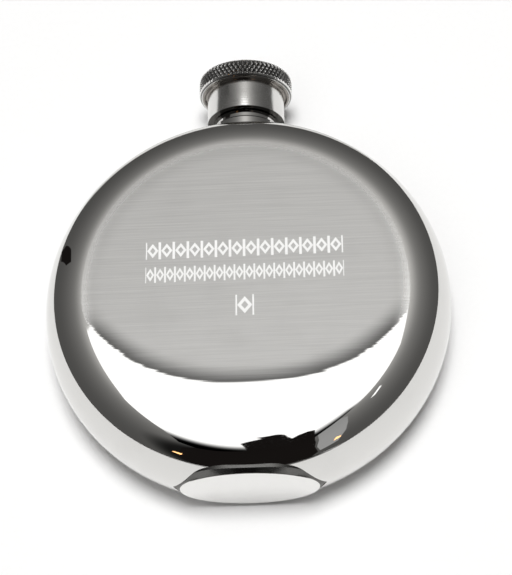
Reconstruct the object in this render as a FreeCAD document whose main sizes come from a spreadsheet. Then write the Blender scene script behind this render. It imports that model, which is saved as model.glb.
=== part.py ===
"""Round hip flask with a screw cap, as a parametric FreeCAD document.

Frame: the flask lies on its back. +Z is up, out of the front face, +Y runs out through the neck, +X is to
the right. The origin is the middle of the back face. Lengths are in millimetres.
"""
import FreeCAD, Part
import math
import os

import Sketcher

# ---------------------------------------------------------------- driving dimensions
DIMENSIONS = {
    # the round body
    "body_radius": (47.5, "widest radius of the side band, on the middle plane"),
    "body_depth": (24.0, "back face to front face"),
    "face_radius": (37.5, "flat part of the front and back faces"),
    "crease_height": (9.9, "seam between side band and disc, above the middle plane"),
    "bulge_radius": (16.9, "section radius of the side band"),
    "sheet_wall": (0.6, "thickness of the steel sheet"),
    # the oval foot
    "foot_plane": (45.3, "flask axis to the face that the flask stands on"),
    "foot_shoulder": (44.1, "flask axis to the line where the foot stops widening"),
    "foot_inner": (42.0, "flask axis to the inner end of the foot"),
    "foot_width": (15.8, "half the long way across the standing face"),
    "foot_height": (9.9, "half the short way across the standing face"),
    "foot_tip": (7.0, "end radius of the standing face"),
    "foot_flare_width": (17.4, "half the long way across the root"),
    "foot_flare_height": (10.45, "half the short way across the root"),
    "foot_flare_tip": (9.5, "end radius of the root"),
    "foot_edge": (0.3, "rounding of the standing face's rim"),
    # the collar round the neck
    "collar_radius": (8.0, "radius of the collar"),
    "collar_root_radius": (8.5, "radius of the collar's root"),
    "collar_root_top": (46.7, "height at which the root starts to narrow"),
    "collar_waist": (47.3, "height at which the root has narrowed"),
    "collar_top": (48.95, "top of the collar"),
    "collar_round": (0.3, "rounding of the collar's top"),
    # the threaded neck
    "bore_radius": (4.8, "pouring bore"),
    "spout_radius": (6.0, "outside of the neck tube, and crest of its thread"),
    "spout_root": (45.6, "inner end of the neck tube"),
    "spout_top": (59.0, "rim of the neck tube"),
    "thread_depth": (0.5, "depth of the neck's thread"),
    "thread_pitch": (2.4, "rise of the cap in one turn"),
    "thread_bottom": (50.6, "where the neck's thread starts"),
    "thread_top": (58.6, "where the neck's thread ends"),
    "thread_crest": (0.5, "width of a thread ridge at its crest"),
    "thread_base": (1.1, "width of a thread ridge at its base"),
    "thread_gap": (0.2, "clearance between the two threads"),
    # the cap
    "sleeve_radius": (9.42, "outside of the cap's threaded sleeve"),
    "sleeve_bottom": (49.1, "open end of the sleeve"),
    "flange_face": (56.7, "underside of the cap's flange"),
    "flange_radius": (9.8, "flat part of the flange's underside"),
    "bead_radius": (0.38, "section radius of the bead under the knurled rim"),
    "flange_groove": (56.95, "floor of the groove inside the bead"),
    "head_radius": (11.46, "knurled rim, over the crests"),
    "head_bottom": (57.29, "lower edge of the knurled rim"),
    "head_chamfer": (0.5, "bevel at the lower edge of the rim"),
    "knurl_top": (60.63, "upper edge of the knurled rim"),
    "head_top": (61.3, "top of the cap"),
    "head_wall": (0.8, "thickness of the head's top and side"),
    "seal_bottom": (59.05, "underside of the sealing washer"),
    "seal_radius": (6.1, "outside of the sealing washer"),
    "seal_hole": (2.0, "hole in the sealing washer"),
    "seal_gap": (0.05, "play above the sealing washer"),
}

SHEET = "dims"


class Size:
    """A length that knows its number and its formula on the sheet."""

    def __init__(self, number, formula):
        self.number = float(number)
        self.formula = formula

    @staticmethod
    def of(value):
        """Return value as a Size."""
        return value if isinstance(value, Size) else Size(value, f"({value:g})")

    def join(self, other, sign, number):
        """Return the Size whose formula joins this one and other by sign."""
        return Size(number, f"({self.formula} {sign} {Size.of(other).formula})")

    def __add__(self, other):
        return self.join(other, "+", self.number + Size.of(other).number)

    def __sub__(self, other):
        return self.join(other, "-", self.number - Size.of(other).number)

    def __mul__(self, other):
        return self.join(other, "*", self.number * Size.of(other).number)

    def __truediv__(self, other):
        return self.join(other, "/", self.number / Size.of(other).number)

    def __neg__(self):
        return Size(-self.number, f"(-1 * {self.formula})")

    def root(self):
        """Return the square root."""
        return Size(math.sqrt(self.number), f"sqrt({self.formula})")


ZERO = Size(0.0, "0")
# how deep a thread's ridge is rooted in the wall that carries it
RIDGE_ROOT = Size.of(0.1)


def fill_sheet(doc):
    """Write the driving dimensions on a spreadsheet, one aliased cell each."""
    sheet = doc.addObject("Spreadsheet::Sheet", SHEET)
    for row, (alias, (value, meaning)) in enumerate(DIMENSIONS.items(), start=1):
        sheet.set(f"A{row}", alias)
        sheet.set(f"B{row}", f"{value:g}")
        sheet.set(f"C{row}", meaning)
        sheet.setAlias(f"B{row}", alias)
    doc.recompute()
    return sheet


class Sizes:
    """The sheet's cells as Size values, read by alias."""

    def __init__(self, sheet):
        self.sheet = sheet

    def __getattr__(self, alias):
        return Size(self.sheet.get(alias), f"{SHEET}.{alias}")


# ---------------------------------------------------------------- sketches
def origin_plane(body, role):
    """Return the body's own origin plane of that role."""
    return next(feature for feature in body.Origin.OriginFeatures if feature.Role == role)


def start_sketch(body, name, role, offset=ZERO):
    """Attach an empty sketch to an origin plane of body, moved along the plane's normal by offset."""
    sketch = body.newObject("Sketcher::SketchObject", name)
    sketch.AttachmentSupport = [(origin_plane(body, role), "")]
    sketch.MapMode = "FlatFace"
    if offset is not ZERO:
        sketch.setExpression(".AttachmentOffset.Base.z", offset.formula)
    return sketch


def bind(sketch, kind, geometry, point, size):
    """Add one dimension to the sketch and bind it to its formula on the sheet."""
    where = (geometry,) if point is None else (geometry, point)
    index = sketch.addConstraint(Sketcher.Constraint(kind, *where, size.number))
    name = f"{kind}_{index}"
    sketch.renameConstraint(index, name)
    sketch.setExpression(f"Constraints.{name}", size.formula)


def vector(point):
    """Return the point's numbers as a FreeCAD vector in the sketch plane."""
    return FreeCAD.Vector(point[0].number, point[1].number, 0)


class Bend:
    """An arc of less than half a turn to the corner end: anticlockwise when left."""

    def __init__(self, radius, end, left=True):
        self.radius = radius
        self.end = end
        self.left = left

    def draw(self, start, finish):
        """Return the arc between two points, centred on the side that it bends to."""
        chord = finish - start
        rise = math.sqrt(self.radius.number ** 2 - (chord.Length / 2) ** 2)
        side = FreeCAD.Vector(-chord.y, chord.x, 0).normalize() * (1 if self.left else -1)
        centre = (start + finish) / 2 + side * rise
        first, last = [math.atan2(spoke.y, spoke.x) for spoke in (start - centre, finish - centre)]
        if not self.left:
            first, last = last, first
        if last <= first:
            last += 2 * math.pi
        circle = Part.Circle(centre, FreeCAD.Vector(0, 0, 1), self.radius.number)
        return Part.ArcOfCircle(circle, first, last)


def outline(sketch, start, steps):
    """Draw a closed outline of lines and arcs, with every corner and radius bound to the sheet.

    Each step is the next corner (x, y), or a Bend that ends at it. The last step returns to start.
    """
    corner = start
    ends = []
    for step in steps:
        if isinstance(step, Bend):
            target = step.end
            index = sketch.addGeometry(step.draw(vector(corner), vector(target)), False)
            bind(sketch, "Radius", index, None, step.radius)
            # a clockwise arc has its first point where the outline leaves it
            head, tail = (1, 2) if step.left else (2, 1)
        else:
            target = step
            index = sketch.addGeometry(Part.LineSegment(vector(corner), vector(target)), False)
            head, tail = 1, 2
        bind(sketch, "DistanceX", index, head, corner[0])
        bind(sketch, "DistanceY", index, head, corner[1])
        ends.append((index, head, tail))
        corner = target
    for (before, _, tail), (after, head, _) in zip(ends, ends[1:] + ends[:1]):
        sketch.addConstraint(Sketcher.Constraint("Coincident", before, tail, after, head))


def ring(sketch, radius):
    """Draw a circle round the sketch's origin."""
    circle = Part.Circle(FreeCAD.Vector(0, 0, 0), FreeCAD.Vector(0, 0, 1), radius.number)
    index = sketch.addGeometry(circle, False)
    sketch.addConstraint(Sketcher.Constraint("Coincident", index, 3, -1, 1))
    bind(sketch, "Radius", index, None, radius)


def oval(sketch, width, height, tip):
    """Draw a four-arc oval of half sizes width and height, with ends of radius tip."""
    reach = width - tip
    flank = (reach * reach + height * height - tip * tip) / ((height - tip) * 2)
    # the arcs meet on the line through both centres
    joint_x = reach * flank / (flank - tip)
    joint_y = (flank - height) * tip / (flank - tip)
    outline(sketch, (joint_x, -joint_y), [
        Bend(tip, (joint_x, joint_y)),
        Bend(flank, (-joint_x, joint_y)),
        Bend(tip, (-joint_x, -joint_y)),
        Bend(flank, (joint_x, -joint_y)),
    ])


# ---------------------------------------------------------------- features
def new_body(doc, label, height=None, flipped=False):
    """Start a body whose place is height above the back face, turned over when flipped."""
    body = doc.addObject("PartDesign::Body", label)
    body.Label = label
    turn = FreeCAD.Rotation(FreeCAD.Vector(0, 1, 0), 180 if flipped else 0)
    body.Placement = FreeCAD.Placement(FreeCAD.Vector(0, 0, height.number), turn)
    body.setExpression(".Placement.Base.z", height.formula)
    return body


def revolve(body, name, sketch, kind="PartDesign::Revolution"):
    """Turn the sketch a full circle about its own upright axis."""
    feature = body.newObject(kind, name)
    feature.Profile = sketch
    feature.ReferenceAxis = (sketch, ["V_Axis"])
    feature.Angle = 360
    return feature


def cut_through(body, name, sketch, towards_neck):
    """Cut the sketch through everything on one side of the XZ plane: the neck's side or the foot's."""
    before = body.Shape.CenterOfGravity.y
    feature = body.newObject("PartDesign::Pocket", name)
    feature.Profile = sketch
    feature.Type = 1
    feature.Reversed = not towards_neck
    body.Document.recompute()
    shift = body.Shape.CenterOfGravity.y - before
    if shift * (1 if towards_neck else -1) >= 0:
        raise RuntimeError(f"{name} doesn't cut the side that it should")
    return feature


def thread(body, name, kind, root, height, crest, base, bottom, turns, pitch):
    """Add or cut one helical ridge about the Y axis.

    root and height are the radius of the ridge's base and its height outwards, sunk slightly into the wall.
    """
    foot = root - RIDGE_ROOT
    peak = root + height
    sketch = start_sketch(body, f"{name}_profile", "XY_Plane")
    corners = [
        (foot, bottom - base / 2),
        (peak, bottom - crest / 2),
        (peak, bottom + crest / 2),
        (foot, bottom + base / 2),
    ]
    outline(sketch, corners[0], corners[1:] + corners[:1])
    helix = body.newObject(kind, name)
    helix.Profile = sketch
    helix.ReferenceAxis = (sketch, ["V_Axis"])
    helix.Mode = "pitch-turns-angle"
    helix.Turns = turns
    helix.setExpression("Pitch", pitch.formula)
    return helix


# ---------------------------------------------------------------- the round body
def disc_section(size, deeper):
    """Return top, arc radius and seam radius of the disc's wall, deeper below its outer surface."""
    top = size.body_depth / 2
    crease = band_seam(size, ZERO)
    run = crease - size.face_radius
    fall = top - size.crease_height
    radius = (run * run + fall * fall) / (fall * 2)
    dip = radius - fall
    radius_here = radius - deeper
    seam = size.face_radius + (radius_here * radius_here - dip * dip).root()
    return top - deeper, radius_here, seam


def band_seam(size, deeper):
    """Return the radius of the seam on the band's wall, deeper below its outer surface."""
    centre = size.body_radius - size.bulge_radius
    radius = size.bulge_radius - deeper
    return centre + (radius * radius - size.crease_height * size.crease_height).root()


def foot_hole(body, size):
    """Cut away what the foot's root takes the place of."""
    sketch = start_sketch(body, "foot_hole_outline", "XZ_Plane")
    oval(sketch, size.foot_flare_width, size.foot_flare_height, size.foot_flare_tip)
    cut_through(body, "foot_hole", sketch, towards_neck=False)


def make_shell(doc, size, label, flipped):
    """Pressed disc: flat face, rounded shoulder, edge standing on the side band."""
    body = new_body(doc, label, size.body_depth / 2, flipped)
    outer_top, outer_bend, outer_edge = disc_section(size, ZERO)
    inner_top, inner_bend, inner_edge = disc_section(size, size.sheet_wall)
    sketch = start_sketch(body, "shell_section", "XZ_Plane")
    seam = size.crease_height
    outline(sketch, (ZERO, outer_top), [
        (ZERO, inner_top),
        (size.face_radius, inner_top),
        Bend(inner_bend, (inner_edge, seam), left=False),
        (outer_edge, seam),
        Bend(outer_bend, (size.face_radius, outer_top)),
        (ZERO, outer_top),
    ])
    revolve(body, "pressed_disc", sketch)
    doc.recompute()
    foot_hole(body, size)
    return body


def make_band(doc, size):
    """Bulged hoop with a hole for the neck and one for the foot."""
    body = new_body(doc, "side_band", size.body_depth / 2)
    seam = size.crease_height
    outer = band_seam(size, ZERO)
    inner = band_seam(size, size.sheet_wall)
    sketch = start_sketch(body, "band_section", "XZ_Plane")
    outline(sketch, (inner, -seam), [
        (outer, -seam),
        Bend(size.bulge_radius, (outer, seam)),
        (inner, seam),
        Bend(size.bulge_radius - size.sheet_wall, (inner, -seam), left=False),
    ])
    revolve(body, "hoop", sketch)
    doc.recompute()
    hole = start_sketch(body, "neck_hole_outline", "XZ_Plane")
    ring(hole, size.spout_radius)
    cut_through(body, "neck_hole", hole, towards_neck=True)
    foot_hole(body, size)
    return body


def make_foot(doc, size):
    """Oval cup that closes the hoop at the bottom and carries the standing flask."""
    body = new_body(doc, "foot_plate", size.body_depth / 2)

    def section(name, y, inset, flared):
        sketch = start_sketch(body, name, "XZ_Plane", y)
        if flared:
            sizes = (size.foot_flare_width, size.foot_flare_height, size.foot_flare_tip)
        else:
            sizes = (size.foot_width, size.foot_height, size.foot_tip)
        oval(sketch, *(value - inset for value in sizes))
        return sketch

    def loft(kind, name, narrow, wide):
        feature = body.newObject(kind, name)
        feature.Profile = narrow
        feature.Sections = [wide]
        feature.Ruled = True

    # the XZ plane's normal points to -Y, so offsets along it are distances towards the foot
    wall = size.sheet_wall
    loft("PartDesign::AdditiveLoft", "flare",
         section("face_outline", size.foot_plane, ZERO, False),
         section("shoulder_outline", size.foot_shoulder, ZERO, True))
    root = body.newObject("PartDesign::Pad", "root")
    root.Profile = section("root_outline", size.foot_shoulder, ZERO, True)
    root.setExpression("Length", (size.foot_shoulder - size.foot_inner).formula)
    root.Reversed = True
    doc.recompute()
    solid = body.Shape.Volume
    loft("PartDesign::SubtractiveLoft", "flare_hollow",
         section("floor_outline", size.foot_plane - wall, wall, False),
         section("hollow_outline", size.foot_shoulder - wall, wall, True))
    hollow = body.newObject("PartDesign::Pocket", "root_hollow")
    hollow.Profile = section("root_hollow_outline", size.foot_shoulder - wall, wall, True)
    hollow.Type = 1
    hollow.Reversed = False
    doc.recompute()
    if body.Shape.Volume > solid / 2:
        raise RuntimeError("the foot isn't hollow")
    rim = [f"Edge{number}" for number, edge in enumerate(body.Shape.Edges, start=1)
           if abs(edge.BoundBox.YMin + size.foot_plane.number) < 1e-4
           and edge.BoundBox.YLength < 1e-4]
    rounding = body.newObject("PartDesign::Fillet", "face_rim")
    rounding.Base = (hollow, rim)
    rounding.setExpression("Radius", size.foot_edge.formula)
    return body


# ---------------------------------------------------------------- the neck
def make_collar(doc, size):
    """Rounded collar round the root of the neck, saddled onto the side band."""
    body = new_body(doc, "neck_collar", size.body_depth / 2)
    sketch = start_sketch(body, "collar_section", "XY_Plane")
    below = size.body_radius - size.bulge_radius
    rounded = size.collar_round
    outline(sketch, (size.spout_radius, below), [
        (size.collar_root_radius, below),
        (size.collar_root_radius, size.collar_root_top),
        (size.collar_radius, size.collar_waist),
        (size.collar_radius, size.collar_top - rounded),
        Bend(rounded, (size.collar_radius - rounded, size.collar_top)),
        (size.spout_radius, size.collar_top),
        (size.spout_radius, below),
    ])
    revolve(body, "collar", sketch)
    doc.recompute()
    before = body.Shape.Volume
    # the hoop's envelope, turned about the flask's axis, shapes the saddle
    seat = start_sketch(body, "seat_section", "XZ_Plane")
    seam = band_seam(size, ZERO)
    outline(seat, (ZERO, -size.crease_height), [
        (seam, -size.crease_height),
        Bend(size.bulge_radius, (seam, size.crease_height)),
        (ZERO, size.crease_height),
        (ZERO, -size.crease_height),
    ])
    revolve(body, "saddle", seat, "PartDesign::Groove")
    doc.recompute()
    if body.Shape.Volume >= before:
        raise RuntimeError("the collar has no saddle")
    return body


def make_spout(doc, size):
    """Threaded neck tube with the pouring bore."""
    body = new_body(doc, "neck_spout", size.body_depth / 2)
    core = size.spout_radius - size.thread_depth
    sketch = start_sketch(body, "tube_section", "XY_Plane")
    outline(sketch, (size.bore_radius, size.spout_root), [
        (size.spout_radius, size.spout_root),
        (size.spout_radius, size.collar_top),
        (core, size.collar_top + size.thread_depth),
        (core, size.spout_top),
        (size.bore_radius, size.spout_top),
        (size.bore_radius, size.spout_root),
    ])
    revolve(body, "tube", sketch)
    span = size.thread_top - size.thread_bottom - size.thread_base
    turns = span.number / size.thread_pitch.number
    thread(body, "neck_thread", "PartDesign::AdditiveHelix", core, size.thread_depth,
           size.thread_crest, size.thread_base, size.thread_bottom + size.thread_base / 2,
           turns, size.thread_pitch)
    return body


# ---------------------------------------------------------------- the cap
def make_sleeve(doc, size):
    """Threaded sleeve of the cap."""
    body = new_body(doc, "cap_sleeve", size.body_depth / 2)
    core = size.spout_radius - size.thread_depth
    crest = core + size.thread_gap
    groove = size.spout_radius + size.thread_gap
    ceiling = size.head_top - size.head_wall
    relief = size.seal_radius + size.thread_gap
    seat = size.seal_bottom - size.thread_gap
    sketch = start_sketch(body, "sleeve_section", "XY_Plane")
    outline(sketch, (groove, size.sleeve_bottom), [
        (size.sleeve_radius, size.sleeve_bottom),
        (size.sleeve_radius, ceiling),
        (relief, ceiling),
        (relief, seat),
        (crest, seat),
        (crest, size.sleeve_bottom + size.thread_depth),
        (groove, size.sleeve_bottom),
    ])
    revolve(body, "sleeve", sketch)
    doc.recompute()
    before = body.Shape.Volume
    # the groove is the neck's ridge made larger by the clearance, run past both ends of the sleeve
    turns_below = 2
    bottom = size.thread_bottom + size.thread_base / 2 - size.thread_pitch * turns_below
    span = size.thread_top + size.thread_pitch - bottom
    thread(body, "cap_thread", "PartDesign::SubtractiveHelix", core + size.thread_gap, size.thread_depth,
           size.thread_crest + size.thread_gap * 2, size.thread_base + size.thread_gap * 2, bottom,
           span.number / size.thread_pitch.number, size.thread_pitch)
    doc.recompute()
    if body.Shape.Volume >= before:
        raise RuntimeError("the sleeve has no thread")
    return body


def make_flange(doc, size):
    """Polished ring under the head, with a bead between two grooves."""
    body = new_body(doc, "cap_flange", size.body_depth / 2)
    bead = size.bead_radius
    edge = size.head_radius - size.head_wall
    middle = edge - bead
    floor = size.flange_groove
    sketch = start_sketch(body, "flange_section", "XY_Plane")
    outline(sketch, (size.sleeve_radius, size.flange_face), [
        (size.flange_radius, size.flange_face),
        (size.flange_radius, floor),
        (middle - bead, floor),
        Bend(bead, (middle, floor - bead)),
        Bend(bead, (edge, floor)),
        (edge, size.head_bottom),
        (size.sleeve_radius, size.head_bottom),
        (size.sleeve_radius, size.flange_face),
    ])
    revolve(body, "flange", sketch)
    return body


def make_head(doc, size):
    """Knurled cup of the cap, closed by the flange."""
    body = new_body(doc, "cap_head", size.body_depth / 2)
    inner = size.head_radius - size.head_wall
    ceiling = size.head_top - size.head_wall
    lip = size.head_bottom - size.head_chamfer
    sketch = start_sketch(body, "head_section", "XY_Plane")
    outline(sketch, (inner, lip), [
        (size.head_radius - size.head_chamfer, lip),
        (size.head_radius, size.head_bottom),
        (size.head_radius, size.knurl_top),
        (inner, size.head_top),
        (ZERO, size.head_top),
        (ZERO, ceiling),
        (inner, ceiling),
        (inner, lip),
    ])
    revolve(body, "head", sketch)
    return body


def make_seal(doc, size):
    """Soft washer that the neck's rim closes on."""
    body = new_body(doc, "cap_seal", size.body_depth / 2)
    top = size.head_top - size.head_wall - size.seal_gap
    sketch = start_sketch(body, "seal_section", "XY_Plane")
    outline(sketch, (size.seal_hole, size.seal_bottom), [
        (size.seal_radius, size.seal_bottom),
        (size.seal_radius, top),
        (size.seal_hole, top),
        (size.seal_hole, size.seal_bottom),
    ])
    revolve(body, "washer", sketch)
    return body


# ---------------------------------------------------------------- check and write
def check(doc, bodies):
    """Stop on any feature that failed and any sub-part without a valid solid."""
    doc.recompute()
    for thing in doc.Objects:
        if "Invalid" in thing.State or "Error" in thing.State:
            raise RuntimeError(f"{thing.Name} failed: {thing.State}")
    for body in bodies:
        if body.Shape.isNull() or not body.Shape.isValid():
            raise RuntimeError(f"{body.Label} has no valid shape")
        box = body.Shape.BoundBox
        print(f"{body.Label:12s} {len(body.Shape.Solids)} solid, {body.Shape.Volume:9.1f} mm3, "
              f"x {box.XMin:.2f}..{box.XMax:.2f}, y {box.YMin:.2f}..{box.YMax:.2f}, "
              f"z {box.ZMin:.2f}..{box.ZMax:.2f}")


def main():
    """Build every sub-part and write each one's shape to parts/."""
    doc = FreeCAD.newDocument("hip_flask")
    size = Sizes(fill_sheet(doc))
    bodies = [
        make_shell(doc, size, "front_shell", flipped=False),
        make_shell(doc, size, "back_shell", flipped=True),
        make_band(doc, size),
        make_foot(doc, size),
        make_collar(doc, size),
        make_spout(doc, size),
        make_sleeve(doc, size),
        make_flange(doc, size),
        make_head(doc, size),
        make_seal(doc, size),
    ]
    check(doc, bodies)
    os.makedirs("parts", exist_ok=True)
    for body in bodies:
        body.Shape.exportStep(f"parts/{body.Label}.step")


main()
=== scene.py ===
"""Looks of a round hip flask with a screw cap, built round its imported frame. Lengths are in metres."""
import logging
import math
from dataclasses import dataclass
from enum import Enum
from typing import Callable, Sequence, Union

import bmesh
import bpy
import numpy as np
from mathutils import Matrix, Vector


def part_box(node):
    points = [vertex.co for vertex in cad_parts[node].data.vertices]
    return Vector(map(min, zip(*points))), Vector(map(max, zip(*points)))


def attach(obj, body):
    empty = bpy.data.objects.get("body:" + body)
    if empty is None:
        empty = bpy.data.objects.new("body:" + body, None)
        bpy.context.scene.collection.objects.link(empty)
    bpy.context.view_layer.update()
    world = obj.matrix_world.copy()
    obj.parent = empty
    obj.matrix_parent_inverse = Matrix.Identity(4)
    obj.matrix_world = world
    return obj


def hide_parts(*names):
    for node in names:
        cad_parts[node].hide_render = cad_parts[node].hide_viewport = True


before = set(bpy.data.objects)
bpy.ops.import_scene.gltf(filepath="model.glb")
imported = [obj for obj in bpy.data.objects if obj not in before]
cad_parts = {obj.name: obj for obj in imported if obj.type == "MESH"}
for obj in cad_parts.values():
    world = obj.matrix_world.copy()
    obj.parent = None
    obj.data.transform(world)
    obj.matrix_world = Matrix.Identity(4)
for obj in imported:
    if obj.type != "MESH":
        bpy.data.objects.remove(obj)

LOG = logging.getLogger("flask")
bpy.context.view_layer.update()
MM = 0.001
MIDDLE = (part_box("side_band")[0][2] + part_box("side_band")[1][2]) / 2

Point = tuple[float, float]
Value = Union["Shade", float]


class Slot(Enum):
    """Material slots of the record."""

    POLISHED = "polished_steel"
    SATIN = "satin_steel"
    KNURLED = "knurled_steel"
    SEAL = "seal_rubber"


class Body(Enum):
    """Rigid bodies of the frame."""

    FLASK = "flask"
    SEAL = "seal"
    CAP = "cap"


# ---- shader graph
@dataclass(frozen=True)
class Shade:
    """One output socket, so that masks can be added and multiplied as Python numbers."""

    graph: "Graph"
    socket: bpy.types.NodeSocket

    def maths(self, operation: str, *values: Value) -> "Shade":
        """Return the result of one Math node on values."""
        return self.graph.node("ShaderNodeMath", {"operation": operation}, dict(enumerate(values)))

    def __add__(self, other: Value) -> "Shade":
        """Return the sum."""
        return self.maths("ADD", self, other)

    def __radd__(self, other: float) -> "Shade":
        """Return the sum, number first."""
        return self.maths("ADD", other, self)

    def __sub__(self, other: Value) -> "Shade":
        """Return the difference."""
        return self.maths("SUBTRACT", self, other)

    def __rsub__(self, other: float) -> "Shade":
        """Return the difference, number first."""
        return self.maths("SUBTRACT", other, self)

    def __mul__(self, other: Value) -> "Shade":
        """Return the product."""
        return self.maths("MULTIPLY", self, other)

    def __rmul__(self, other: float) -> "Shade":
        """Return the product, number first."""
        return self.maths("MULTIPLY", other, self)

    def __truediv__(self, other: Value) -> "Shade":
        """Return the quotient."""
        return self.maths("DIVIDE", self, other)

    def __abs__(self) -> "Shade":
        """Return the value without its sign."""
        return self.maths("ABSOLUTE", self)

    def power(self, exponent: float) -> "Shade":
        """Return this value, no less than zero, raised to exponent."""
        return self.maths("POWER", self.maths("MAXIMUM", self, 0.0), exponent)

    def highest(self, other: Value) -> "Shade":
        """Return the larger of the two."""
        return self.maths("MAXIMUM", self, other)

    def wave(self, period: float) -> "Shade":
        """Return a triangle wave of this value: 0 at each multiple of period, half of period midway."""
        return self.maths("PINGPONG", self, period / 2)

    def rise(self, low: float, high: float) -> "Shade":
        """Return a smooth step.

        Args:
            low: where the step is 0.
            high: where it is 1. It may lie below low, and then the step falls.

        Returns:
            The step, from 0 to 1.
        """
        ends = {0: self, 1: low, 2: high, 3: 0.0, 4: 1.0}
        if high < low:
            ends = {0: self, 1: high, 2: low, 3: 1.0, 4: 0.0}
        settings = {"interpolation_type": "SMOOTHSTEP"}
        return self.graph.node("ShaderNodeMapRange", settings, ends)


class Graph:
    """A node tree that is filled through one method."""

    def __init__(self, tree: bpy.types.NodeTree) -> None:
        """Empty the tree."""
        self.tree = tree
        tree.nodes.clear()

    def node(self, kind: str, settings: dict | None = None, sockets: dict | None = None,
             output: int | str = 0) -> Shade:
        """Add one node.

        Args:
            kind: the node's type.
            settings: its attributes, set before its sockets.
            sockets: values or links by input name or number.
            output: the output that is returned.

        Returns:
            The chosen output.
        """
        made = self.tree.nodes.new(kind)
        for name, value in (settings or {}).items():
            setattr(made, name, value)
        for name, value in (sockets or {}).items():
            if isinstance(value, Shade):
                self.tree.links.new(value.socket, made.inputs[name])
            else:
                made.inputs[name].default_value = value
        return Shade(self, made.outputs[output] if len(made.outputs) else None)

    def place(self) -> Shade:
        """Return the position in the object's own frame, in metres."""
        return self.node("ShaderNodeTexCoord", output="Object")

    def axes(self, place: Shade) -> tuple[Shade, Shade, Shade]:
        """Return x, y and z of a vector."""
        split = self.node("ShaderNodeSeparateXYZ", {}, {0: place})
        outputs = split.socket.node.outputs
        return Shade(self, outputs[0]), Shade(self, outputs[1]), Shade(self, outputs[2])

    def round_neck(self, place: Shade) -> tuple[Shade, Shade]:
        """Return the distance from the neck's axis and the place along it."""
        x, y, z = self.axes(place)
        height = z - MIDDLE
        return (x * x + height * height).power(0.5), y

    def vector(self, x: Value, y: Value, z: Value) -> Shade:
        """Return a vector of three values."""
        return self.node("ShaderNodeCombineXYZ", {}, {0: x, 1: y, 2: z})

    def noise(self, place: Shade, per_metre: float | tuple[float, float, float], detail: float = 3.0,
              roughness: float = 0.55) -> Shade:
        """Return a noise value around 0.5.

        Args:
            place: where it is read.
            per_metre: lumps in a metre, or lumps along x, y and z.
            detail: octaves.
            roughness: how strong the finer octaves are.

        Returns:
            The noise.
        """
        density = per_metre if isinstance(per_metre, tuple) else (per_metre, per_metre, per_metre)
        scaled = self.node("ShaderNodeVectorMath", {"operation": "MULTIPLY"}, {0: place, 1: density})
        sockets = {"Vector": scaled, "Scale": 1.0, "Detail": detail, "Roughness": roughness}
        return self.node("ShaderNodeTexNoise", {}, sockets)

    def blend(self, factor: Value, first: tuple | Shade, second: tuple | Shade) -> Shade:
        """Return the colour between first, at factor 0, and second, at factor 1."""
        settings = {"data_type": "RGBA", "clamp_factor": True}
        return self.node("ShaderNodeMix", settings, {0: factor, 6: first, 7: second}, output=2)

    def grey(self, level: Value, tint: tuple[float, float, float]) -> Shade:
        """Return tint scaled by level."""
        product = {"operation": "SCALE"}
        return self.node("ShaderNodeVectorMath", product, {0: tint, "Scale": level})

    def bump(self, height: Shade, depth: float, strength: float = 1.0) -> Shade:
        """Return a normal bent by height, where height 1 stands depth metres out."""
        return self.node("ShaderNodeBump", {}, {"Height": height, "Distance": depth, "Strength": strength})

    def surface(self, shader: Shade) -> None:
        """Make shader the material's surface."""
        self.node("ShaderNodeOutputMaterial", {}, {"Surface": shader})


# ---- finishes
@dataclass(frozen=True)
class Finish:
    """What every finish has: a name and a way to paint a material's graph."""

    name: str

    def paint(self, graph: Graph) -> Shade:
        """Return the shader of the finish."""
        raise NotImplementedError

    def material(self) -> bpy.types.Material:
        """Return the material, made on first use."""
        known = bpy.data.materials.get(self.name)
        if known:
            return known
        material = bpy.data.materials.new(self.name)
        material.use_nodes = True
        graph = Graph(material.node_tree)
        graph.surface(self.paint(graph))
        return material


def principled(graph: Graph, sockets: dict) -> Shade:
    """Return a Principled shader with those sockets."""
    return graph.node("ShaderNodeBsdfPrincipled", {}, sockets)


@dataclass(frozen=True)
class PolishedSteel(Finish):
    """Mirror-polished stainless steel with faint smears and hair scratches.

    Attributes:
        tint: reflected colour.
        gloss: roughness of the clean metal.
        smear: roughness that the smears add.
        wave: height of the sheet's slight waviness.
    """

    tint: tuple[float, float, float] = (0.70, 0.695, 0.68)
    gloss: float = 0.035
    smear: float = 0.07
    wave: float = 0.000004

    def paint(self, graph: Graph) -> Shade:
        """Return mirror steel."""
        place = graph.place()
        cloud = graph.noise(place, 90.0, 4.0)
        hair = graph.noise(place, (2600.0, 160.0, 900.0), 2.0)
        smears = cloud.rise(0.5, 0.75)
        roughness = self.gloss + smears * self.smear + hair.rise(0.6, 0.75) * (self.smear / 2)
        colour = graph.grey(1.0 - smears * 0.03, self.tint)
        slow = graph.noise(place, 55.0, 1.0)
        return principled(graph, {
            "Base Color": colour,
            "Metallic": 1.0,
            "Roughness": roughness,
            "Normal": graph.bump(slow, self.wave),
        })


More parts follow.
